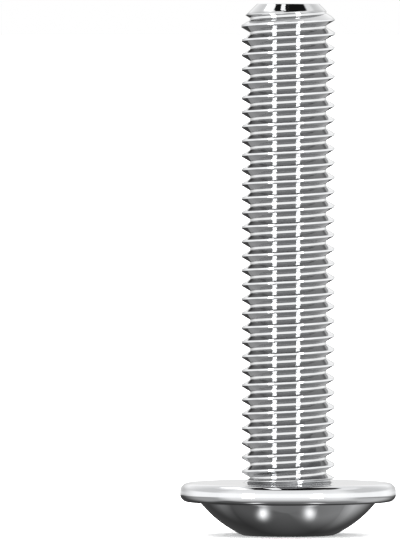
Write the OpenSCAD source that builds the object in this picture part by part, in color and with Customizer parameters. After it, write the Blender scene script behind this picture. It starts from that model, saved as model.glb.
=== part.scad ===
// Flanged button-type screw with a six-lobe drive socket and a full-length thread.
// The axis is Z, the bearing face under the flange is the plane z = 0, the shank rises to its tip
// along +Z, and the head hangs below, so the screw stands on the flat land of its head.

/* [Thread] */
// Diameter over the thread crests
thread_d = 9.8; // [8:0.05:12]
// Distance along the axis from one crest to the next
thread_pitch = 1.5; // [1:0.05:2]
// Radial depth of the groove, from crest to root
thread_depth = 0.89; // [0.5:0.01:1.4]
// Width of the flat left on the crest
crest_flat = 0.21; // [0.1:0.01:0.4]
// Width of the flat at the bottom of the groove
root_flat = 0.26; // [0.05:0.01:0.4]
// Length over which the thread fades out towards the head
runout_len = 0.3; // [0.2:0.1:3]
// Direction, in degrees round the axis, in which a crest is a whole number of pitches from the head
thread_start = 265; // [0:5:355]

/* [Shank] */
// Length from the bearing face to the tip
shank_len = 50; // [20:1:80]
// Diameter of the flat end of the tip
tip_d = 6.5; // [4:0.1:7.5]
// Slope of the tip's chamfer, measured from the axis in degrees
tip_slope = 45; // [30:1:60]
// Radius of the fillet between the shank and the bearing face
neck_fillet = 0.7; // [0.3:0.05:0.9]

/* [Flange] */
// Diameter over the flange
flange_d = 22.6; // [18:0.1:28]
// Thickness of the flange
flange_t = 2; // [1.2:0.1:3]
// Width of the ring that the flange shows round the dome
ring_w = 2.05; // [1.6:0.05:3]
// Rounding of the flange edge on the bearing side
rim_bearing_r = 0.9; // [0.2:0.05:1.2]
// Rounding of the flange edge on the dome side
rim_dome_r = 0.8; // [0.2:0.05:1.2]

/* [Dome] */
// Height of the dome, from the flange to the land
dome_h = 3.5; // [2.8:0.1:5]
// Width of the flat land between the socket's mouth and the dome, before its edge is rounded
land_w = 0.5; // [0.3:0.05:1.5]
// Rounding between the land and the dome
land_edge_r = 1; // [0.3:0.1:1.5]
// Radius of the hollow fillet between the dome and the flange
dome_fillet = 0.25; // [0.1:0.05:0.6]

/* [Drive socket] */
// Width across opposite lobes
lobe_d = 7.93; // [6.4:0.01:8.4]
// Height of each lobe above the ridges beside it
lobe_h = 1.145; // [0.9:0.005:1.4]
// Rounding at the end of each lobe
lobe_r = 0.65; // [0.5:0.01:0.8]
// Depth of the lobe walls, measured from the land
wall_depth = 2.8; // [1.5:0.1:3.2]
// Extra depth of the dished floor at the axis
floor_dish = 0.6; // [0.2:0.1:1]
// Width of the countersink that is left outside the ends of the lobes
mouth_w = 0.285; // [0.1:0.005:0.5]
// Full angle of the countersink, in degrees
mouth_angle = 120; // [90:5:140]

/* [Smoothness] */
// Flat sides in one turn of the thread
turn_sides = 30; // [16:1:36]
// Steps in each arc of a profile
arc_steps = 8; // [4:1:16]

/* [Hidden] */
steel = [0.77, 0.78, 0.8];
round_sides = 96;
lobes = 6;
tooth_corners = 4;
// Cutting bodies run this far past the faces that they cut
overshoot = 0.5;

crest_r = thread_d / 2;
root_r = crest_r - thread_depth;
flank_w = (thread_pitch - crest_flat - root_flat) / 2;
// The neck has the radius at which ridge and groove are equally wide
neck_r = crest_r - thread_depth * (thread_pitch / 2 - crest_flat) / 2 / flank_w;
// The flat ring of the bearing face begins this far outside the crests, so that a plate clears them
ring_clear = 0.05;
fillet_c = [crest_r + ring_clear, neck_fillet];
// The fillet turns through this angle, and a cone of the same slope carries it on into the neck
fillet_a = 45;
fillet_end = fillet_c - neck_fillet * [sin(fillet_a), cos(fillet_a)];
fillet_top = fillet_end[1] + fillet_end[0] * tan(fillet_a);
// The thread begins where that cone meets the neck
runout_start = fillet_top - neck_r * tan(fillet_a);
first_tooth = -1;
teeth = ceil(shank_len / thread_pitch) + 2;
corners = teeth * tooth_corners;

head_h = flange_t + dome_h;
flange_r = flange_d / 2;
// The two roundings of the rim leave a narrow straight band between them
rim_most = 0.45 * flange_t;
rim_bearing = min(rim_bearing_r, rim_most);
rim_dome = min(rim_dome_r, rim_most);

ridge_d = lobe_d - 2 * lobe_h;
mouth_d = lobe_d + 2 * mouth_w;
land_d = mouth_d + 2 * land_w;
dome_d = flange_d - 2 * ring_w;
// The dome is a sphere through its edge on the flange and the edge of the land
dome_z = ((pow(dome_d, 2) - pow(land_d, 2)) / 4 / dome_h - head_h - flange_t) / 2;
dome_r = norm([dome_d / 2, dome_z + flange_t]);

// Points of an arc round a centre, from one angle to another
function arc(centre, r, from, to, steps = arc_steps) =
    [for (i = [0 : steps]) let (a = from + (to - from) * i / steps) centre + r * [cos(a), sin(a)]];

// All points but the last, for an arc whose end is the next arc's start
function open(points) = [for (i = [0 : len(points) - 2]) points[i]];

function turn_2d(p, a) = [p[0] * cos(a) - p[1] * sin(a), p[0] * sin(a) + p[1] * cos(a)];

// Point at a given height whose distance from the dome's centre is reach
function off_dome(reach, z) = [sqrt(pow(reach, 2) - pow(z - dome_z, 2)), z];

// Direction in which a point lies as seen from the dome's centre
function dome_angle(p) = atan2(p[1] - dome_z, p[0]);

// Half section of the head, from the land round the flange to the fillet at the neck
function head_section() =
    let (
        land_c = off_dome(dome_r - land_edge_r, land_edge_r - head_h),
        foot_c = off_dome(dome_r + dome_fillet, -flange_t - dome_fillet),
        land_a = dome_angle(land_c),
        foot_a = dome_angle(foot_c)
    )
    concat(
        [[0, -head_h]],
        open(arc(land_c, land_edge_r, -90, land_a)),
        open(arc([0, dome_z], dome_r, land_a, foot_a, 2 * arc_steps)),
        arc(foot_c, dome_fillet, 180 + foot_a, 90),
        arc([flange_r - rim_dome, rim_dome - flange_t], rim_dome, -90, 0),
        arc([flange_r - rim_bearing, -rim_bearing], rim_bearing, 0, 90),
        arc(fillet_c, neck_fillet, -90, -90 - fillet_a),
        [[0, fillet_top]]
    );

module head() {
    rotate_extrude($fn = round_sides) polygon(head_section());
}

// Share of the full thread height at a given distance from the bearing face
function thread_share(z) = min(1, max(0, (z - runout_start) / runout_len));

// Axial place and radius of each corner of one tooth, from the lower edge of its crest upwards
tooth = [
    [-crest_flat / 2, crest_r],
    [crest_flat / 2, crest_r],
    [crest_flat / 2 + flank_w, root_r],
    [crest_flat / 2 + flank_w + root_flat, root_r]
];

// Corner i of the thread profile, carried round the right-hand helix by a number of sides
function helix_point(i, side) =
    let (
        corner = tooth[i % tooth_corners],
        turns = first_tooth + floor(i / tooth_corners) + side / turn_sides,
        z = turns * thread_pitch + corner[0],
        r = neck_r + (corner[1] - neck_r) * thread_share(z),
        a = 360 * side / turn_sides
    )
    [r * cos(a), r * sin(a), z];

// Index of a helix point. After a full turn the columns meet again one tooth higher
function helix_index(i, side) =
    side < turn_sides ? side * corners + i : i + tooth_corners;

// Strip of triangles between two neighbouring columns of helix points
function helix_strip(side) =
    let (last = side < turn_sides - 1 ? corners - 2 : corners - 2 - tooth_corners)
    [for (i = [0 : last], half = [0, 1])
        half == 0
            ? [helix_index(i, side), helix_index(i + 1, side), helix_index(i + 1, side + 1)]
            : [helix_index(i, side), helix_index(i + 1, side + 1), helix_index(i, side + 1)]];

// Closed loops round the two open ends of the helix, each with the step of one tooth at its seam
low_loop = concat(
    [for (side = [0 : turn_sides]) helix_index(0, side)],
    [for (i = [tooth_corners - 1 : -1 : 1]) helix_index(i, 0)]
);
high_loop = concat(
    [for (side = [0 : turn_sides - 1]) helix_index(corners - 1, side)],
    [for (i = [1 : tooth_corners]) helix_index(corners - 1 - i, turn_sides - 1)]
);

// Fan of triangles from a loop to a point on the axis
function fan(loop, hub) =
    [for (i = [0 : len(loop) - 1]) [loop[i], loop[(i + 1) % len(loop)], hub]];

function turned_over(faces) = [for (f = faces) [f[2], f[1], f[0]]];

// Threaded rod, longer than the shank at both ends
module threaded_rod() {
    low_hub = [0, 0, (first_tooth + 0.5) * thread_pitch];
    high_hub = [0, 0, (first_tooth + teeth) * thread_pitch];
    skin = [for (side = [0 : turn_sides - 1], i = [0 : corners - 1]) helix_point(i, side)];
    hubs = turn_sides * corners;
    polyhedron(
        points = concat(skin, [low_hub, high_hub]),
        faces = concat(
            [for (side = [0 : turn_sides - 1]) each helix_strip(side)],
            fan(low_loop, hubs),
            turned_over(fan(high_loop, hubs + 1))
        )
    );
}

// Everything beyond the flat end and the chamfer of the tip
module tip_cut() {
    reach = crest_r - tip_d / 2 + overshoot;
    top = (first_tooth + teeth + 1) * thread_pitch + overshoot;
    rotate_extrude($fn = round_sides)
        polygon([
            [0, shank_len],
            [tip_d / 2, shank_len],
            [tip_d / 2 + reach, shank_len - reach / tan(tip_slope)],
            [tip_d / 2 + reach, top],
            [0, top]
        ]);
}

// Six-lobe outline. Each lobe's end is an arc that runs smoothly into the hollow arc of a ridge
module lobe_outline() {
    sector = 180 / lobes;
    lobe_c = lobe_d / 2 - lobe_r;
    // The ridge's radius makes its arc touch the arcs of the lobes on both sides
    ridge_gap = pow(lobe_c, 2) + pow(ridge_d / 2, 2) - lobe_c * ridge_d * cos(sector) - pow(lobe_r, 2);
    ridge_r = ridge_gap / (2 * lobe_r + 2 * lobe_c * cos(sector) - ridge_d);
    ridge_c = (ridge_d / 2 + ridge_r) * [cos(sector), sin(sector)];
    meet_a = atan2(ridge_c[1], ridge_c[0] - lobe_c);
    lobe_end = open(arc([lobe_c, 0], lobe_r, -meet_a, meet_a));
    ridge = open(arc(ridge_c, ridge_r, 180 + meet_a, 180 + 2 * sector - meet_a));
    polygon([for (k = [0 : lobes - 1], p = concat(lobe_end, ridge)) turn_2d(p, 2 * sector * k)]);
}

// Recess for the driver: lobe walls, a dished floor and a countersunk mouth
module drive_socket() {
    reach = lobe_d / 2 + overshoot;
    // The countersink runs past the ridges into the open middle of the socket
    mouth_foot_r = ridge_d / 2 - overshoot;
    mouth_depth = (mouth_d / 2 - mouth_foot_r) / tan(mouth_angle / 2);
    mouth_over = overshoot * tan(mouth_angle / 2);
    translate([0, 0, -head_h]) {
        intersection() {
            translate([0, 0, -overshoot])
                linear_extrude(height = wall_depth + floor_dish + 2 * overshoot) lobe_outline();
            rotate_extrude($fn = round_sides)
                polygon([
                    [0, -overshoot],
                    [reach, -overshoot],
                    [reach, wall_depth - floor_dish * overshoot / (lobe_d / 2)],
                    [0, wall_depth + floor_dish]
                ]);
        }
        rotate_extrude($fn = round_sides)
            polygon([
                [0, -overshoot],
                [mouth_d / 2 + mouth_over, -overshoot],
                [mouth_foot_r, mouth_depth],
                [0, mouth_depth]
            ]);
    }
}

module screw() {
    color(steel)
        difference() {
            union() {
                head();
                rotate(thread_start) threaded_rod();
            }
            tip_cut();
            drive_socket();
        }
}

screw();
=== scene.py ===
# %% [markdown]
# # A polished screw that stands on its head
#
# The real object is one piece of bright steel: a low domed head with a broad flange, a six-lobe
# socket for the driver, and a shank that is threaded along its whole length. It stands on the flat
# land of its head, with the tip of the shank in the air.
#
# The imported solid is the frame. It has the true sizes, and everything below is in the same frame, in
# metres, so nothing has to be fitted by hand.

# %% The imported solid
import math

import bpy
import numpy as np
from mathutils import Matrix, Vector


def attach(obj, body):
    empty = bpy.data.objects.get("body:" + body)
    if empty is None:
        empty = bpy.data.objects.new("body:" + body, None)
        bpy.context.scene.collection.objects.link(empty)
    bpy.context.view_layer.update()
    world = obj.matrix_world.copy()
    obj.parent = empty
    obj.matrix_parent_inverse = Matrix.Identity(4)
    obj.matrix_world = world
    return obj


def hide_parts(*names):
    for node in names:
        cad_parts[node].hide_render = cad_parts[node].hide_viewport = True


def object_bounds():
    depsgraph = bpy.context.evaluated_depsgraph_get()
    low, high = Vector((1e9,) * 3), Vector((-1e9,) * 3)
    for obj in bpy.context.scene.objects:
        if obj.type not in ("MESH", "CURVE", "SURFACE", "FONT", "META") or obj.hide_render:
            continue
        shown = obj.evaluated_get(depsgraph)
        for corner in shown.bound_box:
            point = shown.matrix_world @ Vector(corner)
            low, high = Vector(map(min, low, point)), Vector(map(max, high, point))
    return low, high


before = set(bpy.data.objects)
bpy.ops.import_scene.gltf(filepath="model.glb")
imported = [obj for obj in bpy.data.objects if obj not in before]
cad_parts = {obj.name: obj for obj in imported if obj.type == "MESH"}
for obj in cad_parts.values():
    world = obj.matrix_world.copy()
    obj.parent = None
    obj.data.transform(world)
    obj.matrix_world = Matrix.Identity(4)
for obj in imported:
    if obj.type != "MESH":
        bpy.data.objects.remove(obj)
cad_box = [list(corner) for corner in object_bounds()]
MM = 0.001
print("packed solid from", cad_box[0], "to", cad_box[1])

# %% [markdown]
# ## The camera
#
# A long lens seen from far away keeps upright lines upright. The lens is level with the tip of the
# shank, so the tip is seen edge-on and the flange, further down, just opens into a thin ellipse. The
# object stands to the right of the middle, so the camera is moved to the left by the same amount.

# %% The camera
IMAGE_HEIGHT_PX = 539
PX_PER_MM = 9.58
CAMERA_SIDE = -9.2 * MM
CAMERA_BACK = 1300 * MM
CAMERA_HEIGHT = 50 * MM
AIM_HEIGHT = 22.25 * MM
SENSOR_MM = 36
VIEW_REACH = 100

camera_data = bpy.data.cameras.new("camera")
camera_data.sensor_width = SENSOR_MM
camera_data.lens = PX_PER_MM / MM * CAMERA_BACK / IMAGE_HEIGHT_PX * SENSOR_MM
camera_data.clip_end = VIEW_REACH
camera = bpy.data.objects.new("camera", camera_data)
camera.location = (CAMERA_SIDE, -CAMERA_BACK, CAMERA_HEIGHT)
tilt = math.atan2(CAMERA_HEIGHT - AIM_HEIGHT, CAMERA_BACK)
camera.rotation_euler = (math.pi / 2 - tilt, 0, 0)
bpy.context.scene.collection.objects.link(camera)
bpy.context.scene.camera = camera
print("lens", round(camera_data.lens), "mm")

# %% [markdown]
# ## The sizes of the screw
#
# These are the sizes of the solid, in millimetres, so that the fine surface lies on it. The head hangs
# below the bearing face, which is the plane of height zero, and the shank rises above it.

# %% Sizes in millimetres
PITCH = 1.5
CREST_R = 4.9
ROOT_R = 4.01
CREST_FLAT = 0.21
ROOT_FLAT = 0.26
THREAD_START = math.radians(265)
LENGTH = 50
TIP_R = 3.25
NECK_FILLET = 0.7
FILLET_TURN = 45
RING_INNER_R = 4.95
RUNOUT_LENGTH = 0.3

FLANGE_R = 11.3
FLANGE_T = 2
RING_WIDTH = 2.05
RIM_BEARING_R = 0.9
RIM_DOME_R = 0.8
HEAD_HEIGHT = 5.5
DOME_FILLET = 0.25
LAND_R = 4.75
LAND_EDGE_R = 1

LOBES = 6
LOBE_TIP_R = 3.965
RIDGE_R = 2.82
LOBE_END_R = 0.65
WALL_DEPTH = 2.8
FLOOR_DISH = 0.6
MOUTH_R = 4.25
MOUTH_SLOPE = math.radians(60)
print("shank of", 2 * CREST_R, "by", LENGTH, "mm on a flange of", 2 * FLANGE_R, "mm")

# %% [markdown]
# ## Columns that suit the socket
#
# The whole skin of the screw is one grid: columns run from the middle of the socket's floor, over the
# head and along the shank, to the middle of the tip. Evenly spaced columns would cut the tight round
# ends of the six lobes into a few flat faces. The outline of the socket is therefore drawn first, as
# round lobe ends that run smoothly into hollow ridges, and the direction of each of its points gives
# one column. The shank doesn't mind that its columns are a little uneven.

# %% Directions of the columns
LOBE_STEPS = 14
RIDGE_STEPS = 10


def lobe_outline():
    """Points of the socket's outline: in every sector of 60 degrees an arc of radius LOBE_END_R round a
    centre on the lobe's middle, then the arc of the ridge, which touches the arcs of both lobes."""
    half = math.pi / LOBES
    lobe_c = LOBE_TIP_R - LOBE_END_R
    gap = lobe_c**2 + RIDGE_R**2 - 2 * lobe_c * RIDGE_R * math.cos(half) - LOBE_END_R**2
    ridge_arc_r = gap / 2 / (LOBE_END_R + lobe_c * math.cos(half) - RIDGE_R)
    ridge_c = (RIDGE_R + ridge_arc_r) * np.exp(1j * half)
    meet = np.angle(ridge_c - lobe_c)
    lobe_turn = np.linspace(-meet, meet, LOBE_STEPS, endpoint=False)
    ridge_turn = np.linspace(meet, 2 * half - meet, RIDGE_STEPS, endpoint=False)
    lobe = lobe_c + LOBE_END_R * np.exp(1j * lobe_turn)
    ridge = ridge_c - ridge_arc_r * np.exp(1j * ridge_turn)
    sector = np.concatenate([lobe, ridge])
    return (sector[None] * np.exp(2j * half * np.arange(LOBES))[:, None]).ravel()


outline = lobe_outline()
outline = outline[np.argsort(np.angle(outline) % (2 * math.pi))]
theta = np.angle(outline) % (2 * math.pi)
socket_r = np.abs(outline)
columns = len(theta)
print(columns, "columns")

# %% [markdown]
# ## Rows of the head
#
# A row gives every column a radius and a height. On the flange and the dome all columns share them, as
# on a lathe. In the socket the radius follows the lobes, and the height of the socket's edge follows
# with it, because a cone cuts the mouth. A pressed head has no knife edges, so each corner of the
# socket is bridged by a small curve.

# %% Helpers for rows
def arc(centre_r, centre_z, radius, start, stop, steps):
    """Radii and heights on a circle round (centre_r, centre_z), from angle start to stop in degrees."""
    turn = np.radians(np.linspace(start, stop, steps + 1))
    return np.stack([centre_r + radius * np.cos(turn), centre_z + radius * np.sin(turn)], axis=-1)


def all_columns(points):
    """Repeats points that are the same all round for every column: (points, 2) to (points, columns, 2)."""
    return np.repeat(np.asarray(points, float)[:, None], columns, axis=1)


def bridge(before, corner, after, setback, steps=3):
    """Rows that bridge a corner by the parabola (1-t)^2 a + 2t(1-t) c + t^2 b, where a and b lie the
    setback away from the corner c on its two sides. All points are (columns, 2)."""
    a, b = (
        corner + (end - corner) * setback / np.linalg.norm(end - corner, axis=-1, keepdims=True)
        for end in (before, after)
    )
    t = np.linspace(0, 1, steps + 1)[:, None, None]
    return (1 - t) ** 2 * a + 2 * t * (1 - t) * corner + t**2 * b


print("a row for all columns has the shape", all_columns([[FLANGE_R, 0]]).shape)

# %% Rows of the socket
def row(radius, height):
    """One row from radii and heights that may be single values or one value for every column."""
    return np.stack(np.broadcast_arrays(radius, height, theta)[:2], axis=-1).astype(float)


def floor_height(radius):
    """The dished floor is a flat cone, deepest on the axis."""
    return -HEAD_HEIGHT + WALL_DEPTH + FLOOR_DISH * (1 - radius / LOBE_TIP_R)


FLOOR_SHARES = (0, 0.2, 0.4, 0.6, 0.8)
FLOOR_SOFT = 0.18
FLOOR_SOFT_STEPS = 4
WALL_SOFT = 0.05
MOUTH_SOFT = 0.08
floor_rows = np.stack([row(share * socket_r, floor_height(share * socket_r)) for share in FLOOR_SHARES])
floor_corner = row(socket_r, floor_height(socket_r))
mouth_corner = row(socket_r, -HEAD_HEIGHT + (MOUTH_R - socket_r) / math.tan(MOUTH_SLOPE))
mouth_edge = row(MOUTH_R, -HEAD_HEIGHT)
land_start = row(LAND_R, -HEAD_HEIGHT)
socket_rows = np.concatenate([
    floor_rows,
    bridge(floor_rows[-1], floor_corner, mouth_corner, FLOOR_SOFT, FLOOR_SOFT_STEPS),
    bridge(floor_corner, mouth_corner, mouth_edge, WALL_SOFT),
    bridge(mouth_corner, mouth_edge, land_start, MOUTH_SOFT),
])
print(len(socket_rows), "rows in the socket")

# %% [markdown]
# The dome is part of a sphere. The hollow fillet at its foot and the round edge of the land both touch
# that sphere, so their centres lie a fixed way outside or inside it. At the neck a hollow fillet rises
# from the bearing face, just outside the crests, and a short cone of the same slope carries it on to
# where the thread begins.

# %% Rows of the head
LAND_STEPS = 8
DOME_STEPS = 26
FOOT_STEPS = 5
RIM_DOME_STEPS = 10
RIM_BEARING_STEPS = 12
RING_STEPS = 8
NECK_STEPS = 6

dome_edge_r = FLANGE_R - RING_WIDTH
dome_height = HEAD_HEIGHT - FLANGE_T
dome_z = ((dome_edge_r**2 - LAND_R**2) / dome_height - HEAD_HEIGHT - FLANGE_T) / 2
dome_r = math.hypot(dome_edge_r, dome_z + FLANGE_T)


def off_dome(reach, height):
    """Radius at a given height whose distance from the dome's centre is reach, and its direction."""
    radius = math.sqrt(reach**2 - (height - dome_z) ** 2)
    return radius, math.degrees(math.atan2(height - dome_z, radius))


flank_width = (PITCH - CREST_FLAT - ROOT_FLAT) / 2
neck_r = CREST_R - (CREST_R - ROOT_R) * (PITCH / 2 - CREST_FLAT) / 2 / flank_width
ring_r = np.linspace(FLANGE_R - RIM_BEARING_R, RING_INNER_R, RING_STEPS + 1)[1:-1]
neck_arc = arc(RING_INNER_R, NECK_FILLET, NECK_FILLET, -90, -90 - FILLET_TURN, NECK_STEPS)
runout_start = neck_arc[-1, 1] + (neck_arc[-1, 0] - neck_r) * math.tan(math.radians(FILLET_TURN))
land_c_r, land_turn = off_dome(dome_r - LAND_EDGE_R, LAND_EDGE_R - HEAD_HEIGHT)
foot_c_r, foot_turn = off_dome(dome_r + DOME_FILLET, -FLANGE_T - DOME_FILLET)
head_rows = all_columns(np.concatenate([
    arc(land_c_r, LAND_EDGE_R - HEAD_HEIGHT, LAND_EDGE_R, -90, land_turn, LAND_STEPS)[:-1],
    arc(0, dome_z, dome_r, land_turn, foot_turn, DOME_STEPS)[:-1],
    arc(foot_c_r, -FLANGE_T - DOME_FILLET, DOME_FILLET, 180 + foot_turn, 90, FOOT_STEPS),
    arc(FLANGE_R - RIM_DOME_R, RIM_DOME_R - FLANGE_T, RIM_DOME_R, -90, 0, RIM_DOME_STEPS),
    arc(FLANGE_R - RIM_BEARING_R, -RIM_BEARING_R, RIM_BEARING_R, 0, 90, RIM_BEARING_STEPS),
    np.stack([ring_r, 0 * ring_r], axis=-1),
    neck_arc,
    [[neck_r, runout_start]],
]))
print(len(head_rows), "rows on the head, dome radius", round(dome_r, 2), "mm")

# %% [markdown]
# ## The thread
#
# A thread could be a spun profile or a displaced cylinder, but only rows that climb with the helix give
# crisp crests with few faces. One tooth is drawn as a short profile: a flat root, a flank, a crest and
# the second flank, with softened corners. Its points are repeated once per pitch, and every column is
# lifted by its share of a turn, so after one turn a row has climbed into the place of the row one tooth
# above.

# %% One tooth
FOOT_SOFT = 0.03
CREST_SOFT = 0.035
BEND_STEPS = 2


def tooth_profile():
    """Axial places and radii of one tooth, from the middle of one root almost to the next. It runs along
    straight lines, and both corners of each flank are bridged by parabolas."""
    root = np.array([[-PITCH / 2, ROOT_R]])
    foot = np.array([[(ROOT_FLAT - PITCH) / 2, ROOT_R]])
    edge = np.array([[-CREST_FLAT / 2, CREST_R]])
    crest = np.array([[0, CREST_R]])
    foot_bend = bridge(root, foot, edge, FOOT_SOFT, BEND_STEPS)[:, 0]
    edge_bend = bridge(foot, edge, crest, CREST_SOFT, BEND_STEPS)[:, 0]
    middle = (foot + edge) / 2
    rising = np.concatenate([root, foot_bend, middle, edge_bend])
    falling = rising[:0:-1] * (-1, 1)
    profile = np.concatenate([rising, falling])
    return profile[:, 0], profile[:, 1]


tooth_z, tooth_r = tooth_profile()
tooth_rows = len(tooth_z)
print(tooth_rows, "rows in one tooth")

# %% [markdown]
# Just above the neck the thread grows out of the shank within a fraction of a millimetre. Climbing rows
# would cross that short zone only here and there, so it has level rows of its own, which read the radius
# from the tooth.

# %% The run-out
RUNOUT_STEPS = 10
climb = PITCH * (theta - THREAD_START) / (2 * math.pi)


def runout(share):
    """Level rows at shares t of the run-out's length: the tooth's radius at the height less the column's
    climb, blended with the neck's radius by 3t^2 - 2t^3."""
    level_z = runout_start + RUNOUT_LENGTH * share[:, None] + 0 * climb
    full_r = np.interp(level_z - climb, tooth_z, tooth_r, period=PITCH)
    grown = (share * share * (3 - 2 * share))[:, None]
    return np.stack([neck_r + (full_r - neck_r) * grown, level_z], axis=-1)


runout_rows = runout(np.linspace(0, 1, RUNOUT_STEPS + 1)[1:])
print(len(runout_rows), "rows in the run-out")

# %% [markdown]
# The tip is chamfered: a cone of 45 degrees cuts off whatever stands outside it. Where a column passes
# through that cone, the nearest point of the column is moved onto the crossing, so that the edge of the
# chamfer stays a clean line.

# %% The threaded shank
TIP_EDGE = 0.06
SPARE_TEETH = 2
teeth = np.arange(-SPARE_TEETH, math.ceil(LENGTH / PITCH) + SPARE_TEETH)
low_z = runout_start + RUNOUT_LENGTH
high_z = LENGTH - TIP_EDGE

thread_z = (teeth[:, None] * PITCH + tooth_z).reshape(-1, 1) + climb
thread_r = np.tile(tooth_r, len(teeth))[:, None] + 0 * climb


def cone_r(height):
    """Radius of the tip's chamfer, which falls from the shank to TIP_R at the end face."""
    return TIP_R + LENGTH - height


def snap_to_cone(radius, height):
    """Moves the nearer of two neighbouring points of a column onto the place where the column crosses
    the cone: with f the distance outside the cone, the crossing lies at the share f0 / (f0 - f1)."""
    outside = radius - cone_r(height)
    crossing = outside[:-1] * outside[1:] < 0
    share = np.where(crossing, outside[:-1] / np.where(crossing, outside[:-1] - outside[1:], 1), 0)
    new_r = radius[:-1] + share * np.diff(radius, axis=0)
    new_z = height[:-1] + share * np.diff(height, axis=0)
    lower, upper = crossing & (share < 0.5), crossing & (share >= 0.5)
    snapped_r, snapped_z = radius.copy(), height.copy()
    for part, chosen in ((np.s_[:-1], lower), (np.s_[1:], upper)):
        snapped_r[part][chosen] = new_r[chosen]
        snapped_z[part][chosen] = new_z[chosen]
    return np.minimum(snapped_r, cone_r(snapped_z)), snapped_z


thread_r, thread_z = snap_to_cone(thread_r, thread_z)
thread_rows = np.stack([thread_r, thread_z], axis=-1)
print(len(thread_rows), "rows on the shank")

# %% Rows of the tip
FACE_SHARES = np.linspace(0.9, 0, 7)
tip_edge = np.array([[TIP_R + TIP_EDGE, high_z]])
tip_corner = np.array([[TIP_R, LENGTH]])
tip_middle = np.array([[0, LENGTH]])
tip_rows = all_columns(np.concatenate([
    bridge(tip_edge, tip_corner, tip_middle, math.hypot(TIP_EDGE, TIP_EDGE))[:, 0],
    tip_middle + (tip_corner - tip_middle) * FACE_SHARES[:, None],
]))
print(len(tip_rows), "rows on the tip")

# %% [markdown]
# ## One closed skin
#
# All rows form one grid, and every point gets a number. Three rules close it. A row of the shank ends,
# after a full turn, in the row one tooth higher. Points of the shank that lie below the end of the
# run-out or beyond the tip take the number of the last point of the run-out, or of the first point of
# the tip, in the same column. The first and the last row are single points on the axis. Faces whose
# corners share a number shrink to triangles or vanish.

# %% Numbers of the points
rows = np.concatenate([socket_rows, head_rows, runout_rows, thread_rows, tip_rows])
first_thread = len(socket_rows) + len(head_rows) + len(runout_rows)
first_tip = first_thread + len(thread_rows)
MERGE = 0.002

number = np.arange(rows.shape[0] * columns).reshape(-1, columns)
shank = number[first_thread:first_tip]
below = thread_z < low_z + MERGE
beyond = thread_z > high_z - MERGE
shank[below] = np.broadcast_to(number[first_thread - 1], shank.shape)[below]
shank[beyond] = np.broadcast_to(number[first_tip], shank.shape)[beyond]
number[0] = number[0, 0]
number[-1] = number[-1, 0]

next_turn = number[:, :1].copy()
next_turn[first_thread:first_tip - tooth_rows] = number[first_thread + tooth_rows:first_tip, :1]
next_turn[first_tip - tooth_rows:first_tip] = number[first_tip, 0]
grid = np.concatenate([number, next_turn], axis=1)
print(grid.shape[0], "rows of", grid.shape[1], "numbers,", int(below.sum() + beyond.sum()), "taken over")

# %% Faces of the skin
quads = np.stack([grid[:-1, :-1], grid[:-1, 1:], grid[1:, 1:], grid[1:, :-1]], axis=-1).reshape(-1, 4)
whole = (np.diff(np.sort(quads, axis=1), axis=1) != 0).all(axis=1)
halves = quads[~whole][:, [[0, 1, 2], [0, 2, 3]]].reshape(-1, 3)
three = (halves[:, 0] != halves[:, 1]) & (halves[:, 1] != halves[:, 2]) & (halves[:, 2] != halves[:, 0])
triangles = halves[three]
quads = quads[whole]
used, packed = np.unique(np.concatenate([quads.ravel(), triangles.ravel()]), return_inverse=True)
quads, triangles = packed[: quads.size].reshape(-1, 4), packed[quads.size:].reshape(-1, 3)

radius, height = rows.reshape(-1, 2)[used].T
angle = theta[used % columns]
points = np.stack([radius * np.cos(angle), radius * np.sin(angle), height], axis=-1) * MM
print(len(points), "points,", 2 * len(quads) + len(triangles), "triangles")

# %% [markdown]
# Smooth shading takes the mean normal of the faces round a point. A broad flank next to a thin softened
# edge would then look puffed up. Weighting each face by its area keeps the flanks flat and lets the
# thin faces take the turn.

# %% The mesh
def area_normals():
    """Sum of the faces' cross products at each point, made unit length. A cross product is as long as
    the face's area, so large faces count more."""
    corners = np.concatenate([quads[:, [0, 1, 2]], quads[:, [0, 2, 3]], triangles])
    a, b, c = points[corners[:, 0]], points[corners[:, 1]], points[corners[:, 2]]
    cross = np.cross(b - a, c - a)
    total = np.stack(
        [sum(np.bincount(corners[:, k], cross[:, axis], len(points)) for k in range(3)) for axis in range(3)],
        axis=-1,
    )
    return total / np.linalg.norm(total, axis=1, keepdims=True)


skin = bpy.data.meshes.new("screw_skin")
skin.from_pydata(points.tolist(), [], quads.tolist() + triangles.tolist())
skin.polygons.foreach_set("use_smooth", np.ones(len(skin.polygons), bool))
skin.normals_split_custom_set_from_vertices(area_normals().tolist())
skin.validate()
screw = bpy.data.objects.new("screw_skin", skin)
bpy.context.scene.collection.objects.link(screw)
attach(screw, "root")
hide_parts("screw")
print("one mesh with", len(skin.polygons), "faces")

# %% [markdown]
# ## Polished steel
#
# Bright steel is all reflection, so its colour is only a tint. What makes it look real is the unevenness
# of the polish: faint rings from the lathe and the dies, which run round the axis, and a soft mottle from
# tumbling. Inside the crests of the thread the tint is made darker by painted shade, so the flanks and
# roots of the thread look darker than its crests. All of it is worked out in a group from the distance to
# the axis and the height.

# %% Group for polish marks and painted groove shade
RINGS_PER_MM = 9
MOTTLE_PER_MM = 0.7
MARKS_DETAIL = 3
# The two widths below soften the edges of the painted shade in the grooves.
CREST_BLEND_MM = 0.08
START_BLEND_MM = 0.3


def polish_and_shade_group():
    """An empty node group with the inputs and outputs of the polish marks and of the painted groove shade."""
    group = bpy.data.node_groups.new("polish_marks_and_groove_shade", "ShaderNodeTree")
    inputs = (
        ("Rings per mm", RINGS_PER_MM),
        ("Mottle per mm", MOTTLE_PER_MM),
        ("Groove outer mm", CREST_R),
        ("Groove start mm", runout_start),
    )
    for name, default in inputs:
        socket = group.interface.new_socket(name, in_out="INPUT", socket_type="NodeSocketFloat")
        socket.default_value = default
    for name in ("Rings", "Mottle", "Groove"):
        group.interface.new_socket(name, in_out="OUTPUT", socket_type="NodeSocketFloat")
    return group


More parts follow.
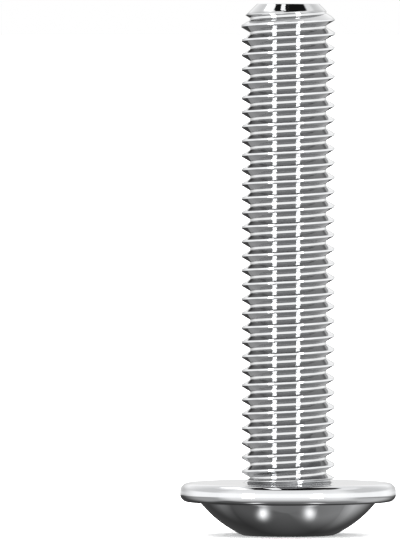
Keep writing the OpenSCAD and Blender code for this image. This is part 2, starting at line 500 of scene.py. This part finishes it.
polish = polish_and_shade_group()
print("group", polish.name, "with", len(polish.interface.items_tree), "sockets")


# %% Nodes of the group
def fill_group(group):
    """Rings is noise over distance from the axis and height, Mottle is noise over the place, and the groove
    output is 1 inside the crests of the thread and above the height at which the thread begins; it masks the
    painted shade in the grooves."""
    add, link = group.nodes.new, group.links.new
    given, result = add("NodeGroupInput"), add("NodeGroupOutput")
    place = add("ShaderNodeTexCoord")
    in_mm = add("ShaderNodeVectorMath")
    in_mm.operation = "SCALE"
    in_mm.inputs["Scale"].default_value = 1 / MM
    link(place.outputs["Object"], in_mm.inputs[0])
    split, flat = add("ShaderNodeSeparateXYZ"), add("ShaderNodeVectorMath")
    flat.operation = "MULTIPLY"
    flat.inputs[1].default_value = (1, 1, 0)
    link(in_mm.outputs[0], split.inputs[0])
    link(in_mm.outputs[0], flat.inputs[0])
    reach = add("ShaderNodeVectorMath")
    reach.operation = "LENGTH"
    link(flat.outputs[0], reach.inputs[0])
    meridian = add("ShaderNodeCombineXYZ")
    link(reach.outputs["Value"], meridian.inputs["X"])
    link(split.outputs["Z"], meridian.inputs["Y"])
    for name, source in (("Rings", meridian.outputs[0]), ("Mottle", in_mm.outputs[0])):
        noise = add("ShaderNodeTexNoise")
        noise.inputs["Detail"].default_value = MARKS_DETAIL
        link(given.outputs[name + " per mm"], noise.inputs["Scale"])
        link(source, noise.inputs["Vector"])
        link(noise.outputs["Fac"], result.inputs[name])

    def rise(value, edge, width):
        """1 where the value is well above the edge, 0 below it, over the given width."""
        away, share = add("ShaderNodeMath"), add("ShaderNodeMath")
        away.operation, share.operation, share.use_clamp = "SUBTRACT", "DIVIDE", True
        link(value, away.inputs[0])
        link(edge, away.inputs[1])
        link(away.outputs[0], share.inputs[0])
        share.inputs[1].default_value = width
        return share.outputs[0]

    def both(first, second):
        """The product of two shares."""
        product = add("ShaderNodeMath")
        product.operation = "MULTIPLY"
        link(first, product.inputs[0])
        link(second, product.inputs[1])
        return product.outputs[0]

    # Mask of the painted shade: 1 inside the crests of the thread and on the shank above its start.
    below_crest = rise(given.outputs["Groove outer mm"], reach.outputs["Value"], CREST_BLEND_MM)
    on_shank = rise(split.outputs["Z"], given.outputs["Groove start mm"], START_BLEND_MM)
    link(both(below_crest, on_shank), result.inputs["Groove"])


fill_group(polish)
print(len(polish.nodes), "nodes in the group")

# %% The steel
STEEL = (0.425, 0.429, 0.436)
STEEL_DULL = (0.395, 0.399, 0.406)
# Tint inside the crests of the thread: painted shade, darker than the crests.
STEEL_GROOVE_SHADE = (0.378, 0.381, 0.385)
MOTTLE_RANGE = (0.3, 0.7)
ROUGHNESS_RANGE = (0.03, 0.06)
RING_BUMP = 0.05
RING_BUMP_HEIGHT = 0.005 * MM


def steel_material():
    """Metal whose tint and roughness follow the mottle, with painted shade that makes the tint darker in the
    grooves, and with the rings as a very low bump."""
    material = bpy.data.materials.new("polished_steel")
    material.use_nodes = True
    nodes, link = material.node_tree.nodes, material.node_tree.links.new
    shader = nodes["Principled BSDF"]
    shader.inputs["Metallic"].default_value = 1
    marks = nodes.new("ShaderNodeGroup")
    marks.node_tree = polish
    # The second mix lays the painted shade over the grooves.
    tint, groove_shade = nodes.new("ShaderNodeMix"), nodes.new("ShaderNodeMix")
    tint.data_type = groove_shade.data_type = "RGBA"
    tint.inputs["A"].default_value = (*STEEL_DULL, 1)
    tint.inputs["B"].default_value = (*STEEL, 1)
    groove_shade.inputs["B"].default_value = (*STEEL_GROOVE_SHADE, 1)
    link(marks.outputs["Mottle"], tint.inputs["Factor"])
    link(marks.outputs["Groove"], groove_shade.inputs["Factor"])
    link(tint.outputs["Result"], groove_shade.inputs["A"])
    link(groove_shade.outputs["Result"], shader.inputs["Base Color"])
    rough = nodes.new("ShaderNodeMapRange")
    rough.inputs["From Min"].default_value, rough.inputs["From Max"].default_value = MOTTLE_RANGE
    rough.inputs["To Min"].default_value, rough.inputs["To Max"].default_value = ROUGHNESS_RANGE
    link(marks.outputs["Mottle"], rough.inputs["Value"])
    link(rough.outputs["Result"], shader.inputs["Roughness"])
    bump = nodes.new("ShaderNodeBump")
    bump.inputs["Strength"].default_value = RING_BUMP
    bump.inputs["Distance"].default_value = RING_BUMP_HEIGHT
    link(marks.outputs["Rings"], bump.inputs["Height"])
    link(bump.outputs["Normal"], shader.inputs["Normal"])
    return material


steel = steel_material()
skin.materials.append(steel)
print("material", steel.name)

# %% [markdown]
# ## Floor and light
#
# The floor is plain and almost white. One broad light from above, like a large window in the ceiling,
# brightens it and lays a soft shadow under the head.

# %% The floor
FLOOR_HALF = 20
FLOOR_GREY = 0.9
FLOOR_ROUGHNESS = 0.9
floor_z = cad_box[0][2]
floor_mesh = bpy.data.meshes.new("floor")
corners = [(x, y, floor_z) for x, y in ((-1, -1), (1, -1), (1, 1), (-1, 1))]
floor_mesh.from_pydata([(x * FLOOR_HALF, y * FLOOR_HALF, z) for x, y, z in corners], [], [(0, 1, 2, 3)])
floor = bpy.data.objects.new("floor", floor_mesh)
bpy.context.scene.collection.objects.link(floor)

paper = bpy.data.materials.new("floor_paper")
paper.use_nodes = True
paper_shader = paper.node_tree.nodes["Principled BSDF"]
paper_shader.inputs["Base Color"].default_value = (FLOOR_GREY, FLOOR_GREY, FLOOR_GREY, 1)
paper_shader.inputs["Roughness"].default_value = FLOOR_ROUGHNESS
paper_shader.inputs["Specular IOR Level"].default_value = 0
floor_mesh.materials.append(paper)
floor.visible_glossy = False
floor.visible_shadow = False
print("floor at", floor_z)

# %% The ceiling light
CEILING_POWER = 5.5
CEILING_SPREAD = math.radians(120)
CEILING_LEAN = math.radians(-15)
ceiling_data = bpy.data.lights.new("ceiling", "SUN")
ceiling_data.energy = CEILING_POWER
ceiling_data.angle = CEILING_SPREAD
ceiling = bpy.data.objects.new("ceiling", ceiling_data)
ceiling.rotation_euler = (CEILING_LEAN, 0, 0)
ceiling.visible_glossy = False
bpy.context.scene.collection.objects.link(ceiling)
print("ceiling light of", CEILING_POWER, "watts per square metre")

# %% [markdown]
# Polished metal shows the room, so the room is drawn with care: a white wall in front, a dark ceiling,
# dim ground at the sides, and a greyer wall behind the screw, which draws its outline against the white
# floor. The room is a world whose brightness depends on the direction that one looks in. Each wall is a
# ramp over the height of that direction, and going round the screw one wall fades into the next.

# %% Brightness of the walls
ROOM_STRENGTH = 2.4
BACK_WALL = (
    (-90, 0.098), (-48, 0.025), (-30, 0.032), (-7, 0.037), (-3.4, 0.064), (-2.4, 0.46), (0, 0.41), (1, 0.37),
    (9, 0.37), (20, 0.69), (60, 0.64), (66, 0.007),
)
LEFT_WALL = (
    (-90, 0.098), (-48, 0.075), (-38, 0.3), (-16, 0.32), (-7, 0.27), (-4, 0.92), (8, 0.92), (16, 0.56),
    (44, 0.56), (50, 0.78), (63, 0.78), (66, 0.007),
)
FRONT_WALL = (
    (-90, 0.135), (-60, 0.171), (-48, 0.42), (-20, 0.74), (-5, 0.8), (-4, 1.0), (8, 1.0), (20, 0.83),
    (42, 0.78), (63, 0.73), (66, 0.007),
)
RIGHT_WALL = (
    (-90, 0.122), (-50, 0.2), (-40, 0.45), (-18, 0.45), (-8, 0.22), (-4, 0.92), (8, 0.92), (16, 0.56),
    (44, 0.56), (50, 0.78), (59, 0.78), (62, 0.007),
)
# Each wall takes over between two azimuths in degrees, counted from the camera's side towards +X
ROUND_THE_SCREW = (
    (-155, -112, LEFT_WALL),
    (-92, -62, FRONT_WALL),
    (58, 88, RIGHT_WALL),
    (125, 165, BACK_WALL),
)
print(len(ROUND_THE_SCREW), "changes of wall round the screw")

# %% Helpers for the room
world = bpy.data.worlds.new("room")
bpy.context.scene.world = world
world.use_nodes = True
nodes, link = world.node_tree.nodes, world.node_tree.links.new


def math_node(operation, *values):
    """A Math node of the world. A value is a number or the socket that gives it."""
    node = nodes.new("ShaderNodeMath")
    node.operation = operation
    for socket, value in zip(node.inputs, values):
        if isinstance(value, (int, float)):
            socket.default_value = value
        else:
            link(value, socket)
    return node.outputs[0]


def ramp_node(stops, share):
    """A colour ramp over elevations in degrees, from straight down to straight up."""
    node = nodes.new("ShaderNodeValToRGB")
    elements = node.color_ramp.elements
    while len(elements) < len(stops):
        elements.new(0.5)
    for element, (elevation, level) in zip(elements, stops):
        element.position = (elevation + 90) / 180
        element.color = (level, level, level, 1)
    link(share, node.inputs["Fac"])
    return node.outputs["Color"]


print("world", world.name)

# %% The room
direction = nodes.new("ShaderNodeTexCoord")
parts = nodes.new("ShaderNodeSeparateXYZ")
link(direction.outputs["Generated"], parts.inputs[0])
to_right, to_back, to_top = (parts.outputs[axis] for axis in "XYZ")
height_share = math_node("MULTIPLY_ADD", math_node("ARCSINE", to_top), 1 / math.pi, 0.5)
azimuth = math_node("ARCTAN2", to_right, math_node("MULTIPLY", to_back, -1))
walls = ramp_node(BACK_WALL, height_share)
for begin, end, wall in ROUND_THE_SCREW:
    share = nodes.new("ShaderNodeMapRange")
    share.interpolation_type = "SMOOTHSTEP"
    share.inputs["From Min"].default_value = math.radians(begin)
    share.inputs["From Max"].default_value = math.radians(end)
    link(azimuth, share.inputs["Value"])
    change = nodes.new("ShaderNodeMix")
    change.data_type = "RGBA"
    link(share.outputs["Result"], change.inputs["Factor"])
    link(walls, change.inputs["A"])
    link(ramp_node(wall, height_share), change.inputs["B"])
    walls = change.outputs["Result"]
print(len(nodes), "nodes so far")

# %% [markdown]
# The dome looks at the ground below. Two soft spots of light down there, brightest in the middle and
# fading like a bell curve, put a gentle highlight on each side of it. A lamp would leave a hard edge, so
# the spots are drawn into the room.

# %% Soft spots below
SPOT_SIZE = (0.065, 0.16)
SPOTS = ((-0.30, 0.11, 1.1), (0.26, 0.065, 0.92))
LEAST_DIP = 0.01


def soft_spot(right, back, level):
    """Level times exp(-(u^2 + v^2)), where u and v are the distances from the spot's middle on a plane
    one unit below, each divided by the spot's size. LEAST_DIP keeps the division sound at the horizon."""
    below = math_node("MAXIMUM", math_node("MULTIPLY", to_top, -1), LEAST_DIP)
    total = None
    for coordinate, middle, size in ((to_right, right, SPOT_SIZE[0]), (to_back, back, SPOT_SIZE[1])):
        away = math_node("SUBTRACT", math_node("DIVIDE", coordinate, below), middle)
        square = math_node("POWER", math_node("ABSOLUTE", math_node("DIVIDE", away, size)), 2)
        total = square if total is None else math_node("ADD", total, square)
    return math_node("MULTIPLY", math_node("EXPONENT", math_node("MULTIPLY", total, -1)), level)


spots = math_node("ADD", *(soft_spot(*spot) for spot in SPOTS))
lit = nodes.new("ShaderNodeMix")
lit.data_type, lit.blend_type = "RGBA", "ADD"
lit.inputs["Factor"].default_value = 1
link(walls, lit.inputs["A"])
link(spots, lit.inputs["B"])
background = nodes["Background"]
background.inputs["Strength"].default_value = ROOM_STRENGTH
link(lit.outputs["Result"], background.inputs["Color"])
print(len(SPOTS), "soft spots below")

# %% [markdown]
# Where the camera looks past the edge of the floor, it sees plain white instead of the room.

# %% White beyond the floor
plain = nodes.new("ShaderNodeBackground")
plain.inputs["Color"].default_value = (1, 1, 1, 1)
seen = nodes.new("ShaderNodeMixShader")
link(nodes.new("ShaderNodeLightPath").outputs["Is Camera Ray"], seen.inputs[0])
link(background.outputs[0], seen.inputs[1])
link(plain.outputs[0], seen.inputs[2])
link(seen.outputs[0], nodes["World Output"].inputs["Surface"])
print(len(nodes), "nodes in the room")

# %% [markdown]
# Two softboxes stand in front, one on each side of the camera. On the thread they show as two upright
# white bands. Two narrow ones overhead draw the bright stripes on the chamfer of the tip.

# %% Softboxes
UP, BACK = Vector((0, 0, 1)), Vector((0, 1, 0))
BOX_DISTANCE = 1
STRIP_RADIANCE = 17
STRIPE_RADIANCE = 2.5
PANEL_RADIANCE = 2.2


def softbox(name, toward, along, size, radiance):
    """A light that faces the origin from the direction toward, with its second size along the direction
    along. Its power is pi times its area times its radiance, which is its brightness in a mirror."""
    data = bpy.data.lights.new(name, "AREA")
    data.shape = "RECTANGLE"
    data.size, data.size_y = size
    data.energy = math.pi * size[0] * size[1] * radiance
    light = bpy.data.objects.new(name, data)
    toward = Vector(toward).normalized()
    across = along.cross(toward).normalized()
    turn = Matrix((across, toward.cross(across), toward)).transposed()
    light.matrix_world = Matrix.Translation(toward * BOX_DISTANCE) @ turn.to_4x4()
    light.visible_camera = False
    light.visible_diffuse = False
    bpy.context.scene.collection.objects.link(light)
    return light


def level(azimuth):
    """Level direction at an angle in degrees from the camera's side, counted towards +X."""
    return math.sin(math.radians(azimuth)), -math.cos(math.radians(azimuth)), 0


boxes = [
    softbox("left_strip", level(-43), UP, (0.25, 0.3), STRIP_RADIANCE),
    softbox("right_strip", level(30), UP, (0.215, 0.3), STRIP_RADIANCE),
    softbox("tip_stripe", (-0.13, 0.02, 1), BACK, (0.11, 0.5), STRIPE_RADIANCE),
    softbox("tip_panel", (-0.47, 0.26, 1), BACK, (0.19, 0.6), PANEL_RADIANCE),
]
print(len(boxes), "softboxes")

# %% [markdown]
#
# The picture is shown with the standard view transform. The fine surface has to stay inside the solid's
# box.

# %% The view transform
bpy.context.scene.view_settings.view_transform = "Standard"
